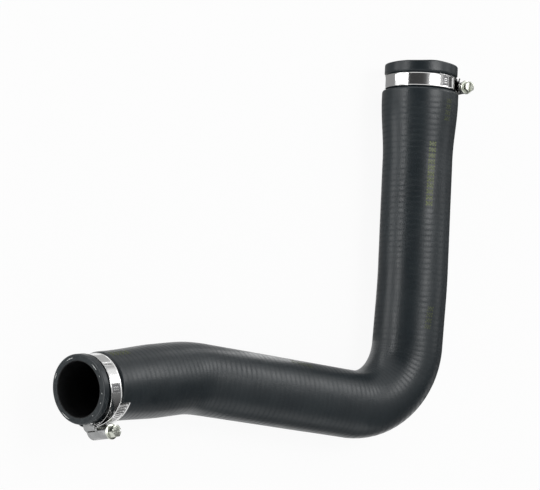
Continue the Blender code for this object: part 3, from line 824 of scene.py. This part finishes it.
def make_threads(name, face_distance, radius, arcs):
    """The ends of the reinforcing threads on a cut face, as short tubes half sunk into it."""
    random.seed(THREAD_SEED)
    points = []
    faces = []
    sides = THREAD_SIDES
    outward = -1 if face_distance == 0 else 1
    for arc in arcs:
        start, end = (math.radians(angle) for angle in arc)
        steps = max(2, math.ceil((end - start) * radius / THREAD_STEP))
        wander = random.uniform(-THREAD_WANDER, THREAD_WANDER) * MM
        base = len(points)
        for i in range(steps + 1):
            angle = start + (end - start) * i / steps
            taper = math.sqrt(max(THREAD_TIP, 1 - (2 * i / steps - 1) ** 2))
            thick = random.uniform(THREAD_THIN, THREAD_THICK) * MM * taper
            middle = radius + wander + random.uniform(-THREAD_JITTER, THREAD_JITTER) * MM
            for side in range(sides):
                turn = outward * 2 * math.pi * side / sides
                lift = outward * thick * THREAD_FLATNESS * math.sin(turn * outward)
                points.append(on_hose(face_distance, angle, middle + thick * math.cos(turn), lift))
        for i in range(steps):
            for side in range(sides):
                first = base + i * sides + side
                second = base + i * sides + (side + 1) % sides
                faces.append((first, second, second + sides, first + sides))
        faces.append(tuple(range(base + sides - 1, base - 1, -1)))
        faces.append(tuple(range(base + steps * sides, base + (steps + 1) * sides)))
    mesh = mesh_from(name, points, faces, (THREAD,))
    add_piece(name, mesh, "hose")


# The clamps


def polar(radius, angle, along):
    """A point round the hose, at an angle from the middle of the housing towards the screw head."""
    return Vector((radius * math.sin(angle), radius * math.cos(angle), along))


def band_heights(seat, stand, lead_angle, tail_angle, tail_lift):
    """(angle, height over the seat) of the band, from its fixed end once round and out as the tail."""
    back = HOUSING_BACK / seat
    front = HOUSING_BLOCK_FRONT / seat
    full = 2 * math.pi
    return [
        (-back + RAMP_STEP / 2, INNER_LAYER + stand),
        (front + RAMP_STEP * 2, INNER_LAYER + stand),
        (lead_angle, CLEARANCE),
        (full - back - RAMP_STEP * 8, CLEARANCE),
        (full - back - RAMP_STEP, OUTER_LAYER + stand),
        (full + front + RAMP_STEP, OUTER_LAYER + stand),
        (full + tail_angle, OUTER_LAYER + stand + tail_lift),
    ]


def band_height(keys, angle):
    """The band's height over the seat, with its tail springing off more and more."""
    start, low = keys[-2]
    end, high = keys[-1]
    if angle <= start:
        return between(keys, angle)
    return low + (high - low) * ((angle - start) / (end - start)) ** TAIL_CURVE


def edge_lift(along):
    return BAND_EDGE_RISE * smooth_step((abs(along) - BAND_WIDTH / 2 + BAND_EDGE) / BAND_EDGE)


def groove_depth(angle, along, first, last, pitch, radius):
    """The depth of the slanted grooves that the worm runs in."""
    at = angle - along * math.tan(GROOVE_SLANT) / radius
    if not first <= at <= last or abs(along) > GROOVE_REACH + GROOVE_RUNOUT:
        return 0
    phase = ((at - first) / pitch) % 1 * GROOVE_PITCH
    inside = min(phase, GROOVE_WIDTH - phase)
    runout = smooth_step((GROOVE_REACH + GROOVE_RUNOUT - abs(along)) / GROOVE_RUNOUT)
    return GROOVE_DEPTH * smooth_step(inside / GROOVE_FLANK) * runout


def stamp_share(angle, along, stamp_angle, radius):
    """1 on the etched stamp, 0 on the polish round it, with six polished dots left in it."""
    across = (angle - stamp_angle) * radius
    edge = min(STAMP_LENGTH / 2 - abs(across), STAMP_WIDTH / 2 - abs(along))
    panel = smooth_step(edge / STAMP_EDGE + 0.5)
    for column in (-1, 0, 1):
        for row in (-0.5, 0.5):
            off = math.hypot(across - row * STAMP_DOTS_ROUND, along - column * STAMP_DOTS_ACROSS)
            panel *= smooth_step((off - STAMP_DOT) / STAMP_DOT_EDGE + 0.5)
    return panel


def band_outline():
    """(along, out, on the outer face) round the band's section; the inner face has fewer columns."""
    half = BAND_WIDTH / 2
    count = round((BAND_WIDTH - 2 * BAND_COLUMN) / BAND_COLUMN)
    reach = half - BAND_THICKNESS / 4
    columns = [-reach + 2 * reach * i / count for i in range(count + 1)]
    inner = [z for i, z in enumerate(columns) if i % 4 == 0 or i in (1, 2, count - 1, count - 2)]
    section = [(z, edge_lift(z), 0) for z in inner]
    rim = [(half - BAND_RIM_ROUND, 0.15), (half, 0.5), (half - BAND_RIM_ROUND, 0.85)]
    section += [(z, BAND_EDGE_RISE + share * BAND_THICKNESS, 0) for z, share in rim]
    section += [(z, edge_lift(z) + BAND_THICKNESS, 1) for z in reversed(columns)]
    section += [(-z, BAND_EDGE_RISE + share * BAND_THICKNESS, 0) for z, share in reversed(rim)]
    return section


def make_band(clamp, place, seat, stand, shape, stamp_angle):
    keys = band_heights(seat, stand, *shape)
    start = keys[0][0]
    tail = keys[-2][0]
    last = keys[-1][0]
    pitch = GROOVE_PITCH / (seat + stand + OUTER_LAYER)
    count = int((last - tail) / pitch - 0.5)
    first_groove = last - (count + 0.25) * pitch
    last_groove = last - 0.25 * pitch
    angles = evenly(start, tail, BAND_FINE_STEP) + evenly(tail, last, TAIL_FINE_STEP) + [last]
    section = band_outline()
    points = []
    etch = []
    for angle in angles:
        height = band_height(keys, angle)
        for along, out, outer in section:
            radius = seat + height + out
            stamped = 0
            if outer:
                stamped = stamp_share(angle, along, stamp_angle, radius)
                radius -= groove_depth(angle, along, first_groove, last_groove, pitch, radius)
                radius -= STAMP_DEPTH * stamped
            etch.append(stamped)
            points.append(place @ polar(radius, angle, along))
    size = len(section)
    faces = []
    for i in range(len(angles) - 1):
        at = i * size
        for j in range(size):
            k = (j + 1) % size
            faces.append((at + j, at + size + j, at + size + k, at + k))
    faces.append(tuple(range(size)))
    faces.append(tuple(range(len(points) - 1, len(points) - size - 1, -1)))
    name = clamp + "_band_fine"
    mesh = mesh_from(name, points, faces, (BAND_STEEL,), sharp=BAND_SHARP)
    store(mesh, "etch", "POINT", etch)
    add_piece(name, mesh, "hose", clamp + "_band")


def hexagon_radius(angle, across_flats):
    """How far a hexagon's outline lies from its axis at an angle, with a corner at angle 0."""
    sector_angle = math.pi / 3
    return across_flats / 2 / math.cos(angle % sector_angle - sector_angle / 2)


def thread_radius(angle, along):
    """The worm's radius at a point of its helix, from root to rounded crest and back over one pitch."""
    phase = (along / WORM_PITCH - angle / (2 * math.pi)) % 1
    rise = smooth_step((WORM_CREST - abs(phase - 0.5)) / WORM_FLANK)
    return WORM_ROOT_RADIUS + (WORM_RADIUS - WORM_ROOT_RADIUS) * rise


def screw_rings():
    """(place along the screw, function from angle to radius) from the worm's far end to the head."""
    collar_back = HOUSING_FRONT - COLLAR_LENGTH
    back_wall = (WORM_HEIGHT + WORM_RADIUS - OUTER_LAYER) * math.tan(HOUSING_BACK_SLOPE)
    back_wall += HOUSING_SHEET / math.cos(HOUSING_BACK_SLOPE)
    start = -HOUSING_BACK + back_wall + CLEARANCE
    end = collar_back - CLEARANCE
    flange_back = HOUSING_FRONT + CLEARANCE
    flange_front = flange_back + FLANGE_THICKNESS
    head_end = flange_front + HEAD_HEIGHT
    corner = HEAD_ACROSS_FLATS / math.sqrt(3)

    def turned(radius):
        return lambda angle: radius

    def thread(along):
        return lambda angle: thread_radius(angle, along)

    def hexagon(limit):
        return lambda angle: min(hexagon_radius(angle, HEAD_ACROSS_FLATS), limit)

    rings = [(start - CLEARANCE / 2, turned(NECK_RADIUS))]
    steps = math.ceil((end - start) / WORM_PITCH * RINGS_PER_THREAD)
    for i in range(steps + 1):
        along = start + (end - start) * i / steps
        rings.append((along, thread(along)))
    rings += [(end + CLEARANCE / 2, turned(NECK_RADIUS)), (flange_back, turned(NECK_RADIUS))]
    edge = FLANGE_THICKNESS / 4
    rings += [
        (flange_back, turned(FLANGE_RADIUS - edge)),
        (flange_back + edge / 2, turned(FLANGE_RADIUS - edge / 4)),
        (flange_back + edge, turned(FLANGE_RADIUS)),
        (flange_back + 2 * edge, turned(FLANGE_RADIUS)),
        (flange_back + 3 * edge, turned(FLANGE_RADIUS - edge / 2)),
        (flange_front, turned(corner + edge / 2)),
        (flange_front + edge / 4, hexagon(corner)),
    ]
    for share in HEAD_CHAMFER_SHARES:
        height = head_end - HEAD_CHAMFER_HEIGHT * (1 - share)
        rings.append((height, hexagon(corner - HEAD_CHAMFER * share)))
    rings.append((head_end + HEAD_CROWN, hexagon(corner - HEAD_CROWN_INSET)))
    return rings, head_end


def make_screw(clamp, place, saddle):
    """The worm screw with its flange, chamfered hexagon and driver slot."""
    rings, head_end = screw_rings()
    on_axis = Matrix.Translation((0, saddle + WORM_HEIGHT, 0)) @ Matrix.Rotation(math.pi / 2, 4, "Y")
    points = []
    for along, radius_at in rings:
        for i in range(SCREW_SIDES):
            angle = 2 * math.pi * i / SCREW_SIDES
            radius = radius_at(angle)
            points.append(Vector((radius * math.cos(angle), radius * math.sin(angle), along)))
    faces = [tuple(reversed(range(SCREW_SIDES)))]
    for i in range(len(rings) - 1):
        at = i * SCREW_SIDES
        for j in range(SCREW_SIDES):
            k = (j + 1) % SCREW_SIDES
            faces.append((at + j, at + k, at + SCREW_SIDES + k, at + SCREW_SIDES + j))
    faces.append(tuple(range(len(points) - SCREW_SIDES, len(points))))
    blank = linked("blank", mesh_from("blank", points, faces, (SCREW_ZINC,)))
    cutter = slot_cutter(head_end)
    cut = blank.modifiers.new("slot", "BOOLEAN")
    cut.operation = "DIFFERENCE"
    cut.solver = "EXACT"
    cut.object = cutter
    mesh = finished(blank, SCREW_SHARP, place @ on_axis)
    bpy.data.objects.remove(cutter, do_unlink=True)
    add_piece(clamp + "_screw_fine", mesh, clamp + "_screw", clamp + "_screw")


def slot_cutter(head_end):
    """A block that cuts the driver slot across the head."""
    bm = bmesh.new()
    bmesh.ops.create_cube(bm, size=1)
    depth = SLOT_DEPTH + MM
    bmesh.ops.scale(bm, vec=(HEAD_ACROSS_FLATS * 2, SLOT_WIDTH, depth), verts=bm.verts)
    bmesh.ops.translate(bm, vec=(0, 0, head_end - SLOT_DEPTH + depth / 2), verts=bm.verts)
    mesh = bpy.data.meshes.new("slot")
    bm.to_mesh(mesh)
    bm.free()
    mesh.materials.append(SCREW_ZINC)
    return linked("slot", mesh)


def finished(blank, sharp, place=Matrix()):
    """The mesh of an object after its modifiers, put in its place and shaded smooth; the object goes."""
    graph = bpy.context.evaluated_depsgraph_get()
    mesh = bpy.data.meshes.new_from_object(blank.evaluated_get(graph))
    bpy.data.objects.remove(blank, do_unlink=True)
    mesh.transform(place)
    mesh.shade_smooth()
    mesh.set_sharp_from_angle(angle=sharp)
    return mesh


def make_housing(clamp):
    """The housing's own solid with its stamped edges rounded."""
    name = clamp + "_housing"
    bm = bmesh.new()
    bm.from_mesh(frame["nodes"][name].data)
    bmesh.ops.remove_doubles(bm, verts=bm.verts, dist=HOUSING_MERGE)
    bmesh.ops.dissolve_limit(bm, angle_limit=HOUSING_FLAT, verts=bm.verts, edges=bm.edges)
    mesh = bpy.data.meshes.new(name + "_rounded")
    bm.to_mesh(mesh)
    bm.free()
    mesh.materials.clear()
    mesh.materials.append(HOUSING_STEEL)
    blank = linked("blank", mesh)
    bevel = blank.modifiers.new("edges", "BEVEL")
    bevel.width = HOUSING_BEVEL
    bevel.segments = 2
    bevel.limit_method = "ANGLE"
    bevel.angle_limit = HOUSING_BEVEL_FROM
    add_piece(name + "_rounded", finished(blank, HOUSING_SHARP), "hose", name)


def make_clamp(clamp, distance, seat, stand, shape, stamp_hose_angle):
    place = clamp_place(ROUTE, distance)
    stamp_angle = math.pi / 2 - CLAMP_TURN - stamp_hose_angle
    make_band(clamp, place, seat, stand, shape, stamp_angle)
    make_screw(clamp, place, seat + stand)
    make_housing(clamp)


# Studio


def background_seen(tree):
    """1 for the rays that see the white background: camera, glossy and transmission rays."""
    path = add_node(tree, "ShaderNodeLightPath")
    seen = path.outputs["Is Camera Ray"]
    for name in ("Is Glossy Ray", "Is Transmission Ray"):
        seen = maths(tree, "MAXIMUM", seen, path.outputs[name])
    return seen


def world_light():
    world = bpy.data.worlds.new("studio")
    bpy.context.scene.world = world
    world.use_nodes = True
    tree = world.node_tree
    tree.nodes.clear()
    strength = remap(tree, background_seen(tree), 0, 1, WORLD_LIGHT, 1.0)
    background = add_node(tree, "ShaderNodeBackground", {"Color": WHITE, "Strength": strength})
    output = add_node(tree, "ShaderNodeOutputWorld")
    tree.links.new(background.outputs[0], output.inputs["Surface"])


def bare_material(name):
    material = bpy.data.materials.new(name)
    material.use_nodes = True
    material.node_tree.nodes.clear()
    return material, material.node_tree


def floor_material():
    """A white floor that keeps part of the object's shadow."""
    material, tree = bare_material("pale_floor")
    share = remap(tree, background_seen(tree), 0, 1, 0.0, FLOOR_GLOW)
    matte = add_node(tree, "ShaderNodeBsdfDiffuse", {"Color": FLOOR_WHITE})
    glow = add_node(tree, "ShaderNodeEmission", {"Color": WHITE, "Strength": 1.0})
    mixer = add_node(tree, "ShaderNodeMixShader", {"Fac": share})
    tree.links.new(matte.outputs[0], mixer.inputs[1])
    tree.links.new(glow.outputs[0], mixer.inputs[2])
    output = add_node(tree, "ShaderNodeOutputMaterial")
    tree.links.new(mixer.outputs[0], output.inputs["Surface"])
    return material


def square(name, width, height, material):
    x = width / 2
    y = height / 2
    mesh = bpy.data.meshes.new(name)
    mesh.from_pydata([(-x, -y, 0), (x, -y, 0), (x, y, 0), (-x, y, 0)], [], [(0, 1, 2, 3)])
    mesh.materials.append(material)
    made = linked(name, mesh)
    return made


def make_floor():
    floor = square("floor", FLOOR_SIZE, FLOOR_SIZE, floor_material())
    floor.location.z = FLOOR_HEIGHT


def aimed(place, target, up=UP):
    back = (place - target).normalized()
    right = up.cross(back).normalized()
    matrix = Matrix((right, back.cross(right), back)).transposed().to_4x4()
    matrix.translation = place
    return matrix


def softbox(name, place, target, width, height, power):
    light = bpy.data.lights.new(name, "AREA")
    light.shape = "RECTANGLE"
    light.size = width
    light.size_y = height
    light.energy = power
    lamp = linked(name, light)
    lamp.matrix_world = aimed(Vector(place), Vector(target))


def card(name, matrix, width, height, levels):
    """A card that only reflections see, with its brightness given from its lower edge to its upper one: a
    painted reflection, dark as painted shade and bright as a painted highlight.
    """
    material, tree = bare_material(name)
    place = add_node(tree, "ShaderNodeTexCoord")
    across = add_node(tree, "ShaderNodeSeparateXYZ", {"Vector": place.outputs["Generated"]})
    ramp = add_node(tree, "ShaderNodeValToRGB", {"Fac": across.outputs["Y"]})
    stops = ramp.color_ramp.elements
    while len(stops) < len(levels):
        stops.new(1)
    for stop, (at, level) in zip(stops, levels):
        stop.position = at
        stop.color = (level, level, level, 1)
    glow = add_node(tree, "ShaderNodeEmission", {"Color": ramp.outputs["Color"], "Strength": 1.0})
    output = add_node(tree, "ShaderNodeOutputMaterial")
    tree.links.new(glow.outputs[0], output.inputs["Surface"])
    made = square(name, width, height, material)
    made.matrix_world = matrix
    made.visible_camera = False
    made.visible_diffuse = False
    made.visible_shadow = False


def standing_card(name, azimuth, elevation, distance, width, height, levels):
    """A card that faces the object from a direction given in degrees."""
    azimuth = math.radians(azimuth)
    elevation = math.radians(elevation)
    level = math.cos(elevation)
    heading = Vector((level * math.cos(azimuth), level * math.sin(azimuth), math.sin(elevation)))
    card(name, aimed(distance * heading, Vector((0, 0, 0))), width, height, levels)


def floor_card(name, low, high, level):
    """A card flat on the floor between two corners, for how bright the floor looks in reflections there:
    painted shade where it is darker than the floor, painted light where it glows brighter.
    """
    middle = ((low[0] + high[0]) / 2, (low[1] + high[1]) / 2, FLOOR_CARD_HEIGHT)
    levels = ((0.0, level), (1.0, level))
    card(name, Matrix.Translation(middle), high[0] - low[0], high[1] - low[1], levels)


def make_camera():
    camera = bpy.data.cameras.new("camera")
    camera.sensor_width = SENSOR_WIDTH
    camera.lens = SENSOR_WIDTH * FOCAL_PIXELS / FRAME_WIDTH
    holder = linked("camera", camera)
    holder.matrix_world = aimed(CAMERA_AT, CAMERA_AIM, CAMERA_UP)
    bpy.context.scene.camera = holder


def make_studio():
    make_camera()
    world_light()
    make_floor()
    for row in SOFTBOXES:
        softbox(*row)
    for row in STANDING_CARDS:
        standing_card(*row)
    for row in FLOOR_CARDS:
        floor_card(*row)


def main():
    bpy.context.scene.view_settings.view_transform = "Standard"
    make_studio()
    make_hose()
    for number, row in enumerate(PRINTS, 1):
        make_print(number, *row)
    make_threads("threads_a", 0, THREADS_A_RADIUS, THREADS_A)
    make_threads("threads_b", LENGTH, THREADS_B_RADIUS, THREADS_B)
    shape_a = (LEAD_ANGLE_A, TAIL_ANGLE_A, TAIL_LIFT_A)
    shape_b = (LEAD_ANGLE_B, TAIL_ANGLE_B, TAIL_LIFT_B)
    seat_a = END_A_RADIUS - SEAT_DEPTH
    seat_b = END_B_RADIUS - SEAT_DEPTH
    make_clamp("clamp_a", BAND_CENTRE, seat_a, HOUSING_STAND_A, shape_a, STAMP_ANGLE_A)
    make_clamp("clamp_b", LENGTH - BAND_CENTRE, seat_b, HOUSING_STAND_B, shape_b, STAMP_ANGLE_B)


main()
